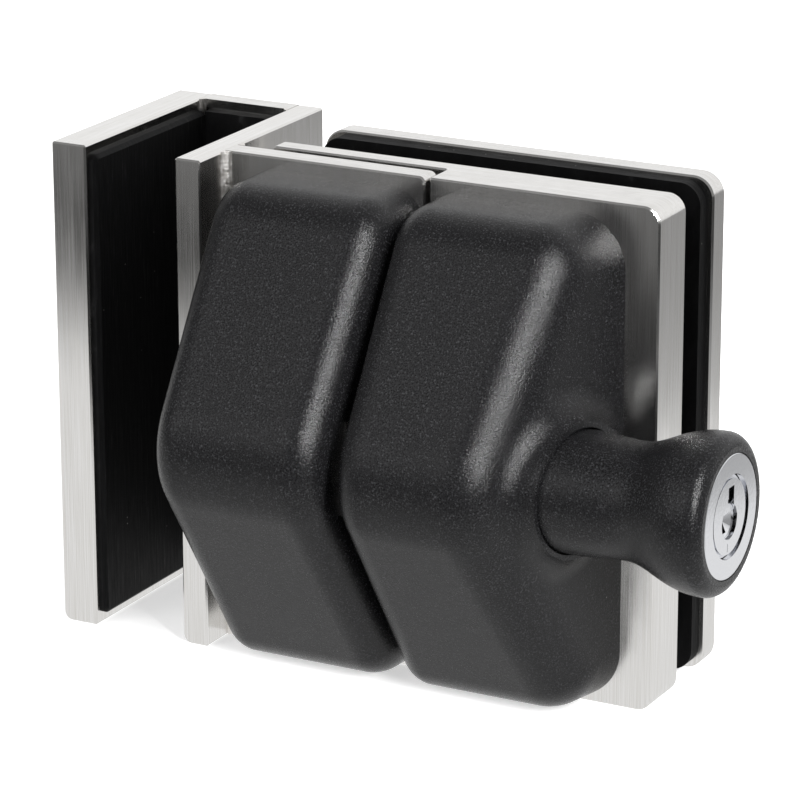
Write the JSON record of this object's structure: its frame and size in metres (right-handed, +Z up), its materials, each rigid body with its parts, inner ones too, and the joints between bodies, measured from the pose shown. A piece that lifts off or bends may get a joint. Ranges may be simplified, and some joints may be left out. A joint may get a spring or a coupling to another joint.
{
  "type": "glass gate latch",
  "caption": "Pull-knob latch with a key lock for a frameless glass gate, with a clamp plate for the gate's glass and a channel for the fixed panel.",
  "frame": {"origin": "midway between the two clamp bolts, on the gasket face that the gate's glass bears on", "axes": "+Z up, +X along the gate towards the knob's key face, +Y away from the side with the knob"},
  "size_m": [0.1737, 0.0927, 0.115],
  "materials": {
    "stainless_steel": "brushed",
    "moulded_polymer": "fine grain",
    "black_rubber": "matte",
    "chrome_plate": "polished",
    "sleeve_nylon": "matte",
    "plated_steel": "zinc plated"
  },
  "bodies": {
    "fixed_side": {"channel_left_wall": "stainless_steel", "channel_web": "stainless_steel", "channel_right_wall": "stainless_steel", "striker_plate": "stainless_steel", "channel_weld_left": "stainless_steel", "channel_weld_right": "stainless_steel", "striker_plate_weld_front": "stainless_steel", "striker_plate_weld_rear": "stainless_steel", "channel_left_pad": "black_rubber", "channel_web_pad": "black_rubber", "striker_housing": "moulded_polymer", "keeper": "stainless_steel", "keeper_magnet": "plated_steel", "magnet_backing_disc": "plated_steel", "striker_housing_screw_1": "stainless_steel", "striker_housing_screw_2": "stainless_steel", "striker_housing_screw_3": "stainless_steel", "striker_housing_screw_4": "stainless_steel"},
    "gate_side": {"gate_plate": "stainless_steel", "gate_front_gasket": "black_rubber", "gate_rear_gasket": "black_rubber", "gate_back_plate": "stainless_steel", "clamp_bolt_upper": "stainless_steel", "clamp_bolt_lower": "stainless_steel", "glass_sleeve_upper": "sleeve_nylon", "glass_sleeve_lower": "sleeve_nylon", "latch_housing": "moulded_polymer", "bolt_bush": "sleeve_nylon", "knob_bush": "sleeve_nylon", "lock_stop": "stainless_steel", "stop_screw_upper": "plated_steel", "stop_screw_lower": "plated_steel", "return_spring": "plated_steel", "latch_housing_screw_1": "stainless_steel", "latch_housing_screw_2": "stainless_steel", "latch_housing_screw_3": "stainless_steel", "latch_housing_screw_4": "stainless_steel"},
    "pull_knob": {"knob": "moulded_polymer", "latch_bolt": "stainless_steel", "lock_cylinder": "chrome_plate", "cylinder_nut": "plated_steel"},
    "lock_plug": {"key_plug": "chrome_plate", "lock_cam": "plated_steel", "cam_screw": "plated_steel"}
  },
  "joints": [
    {"name": "gate_travel", "type": "slide", "parent": "fixed_side", "child": "gate_side", "axis": [0, 1, 0], "range_m": [0, 0.06]},
    {"name": "knob_pull", "type": "slide", "parent": "gate_side", "child": "pull_knob", "axis": [1, 0, 0], "range_m": [-0.012, 0], "stiffness_N_per_m": 60, "springref_m": 0.012, "deforming": ["return_spring"]},
    {"name": "key_turn", "type": "hinge", "parent": "pull_knob", "child": "lock_plug", "pos_m": [0, -0.0375, 0], "axis": [1, 0, 0], "range_deg": [0, 90]}
  ]
}
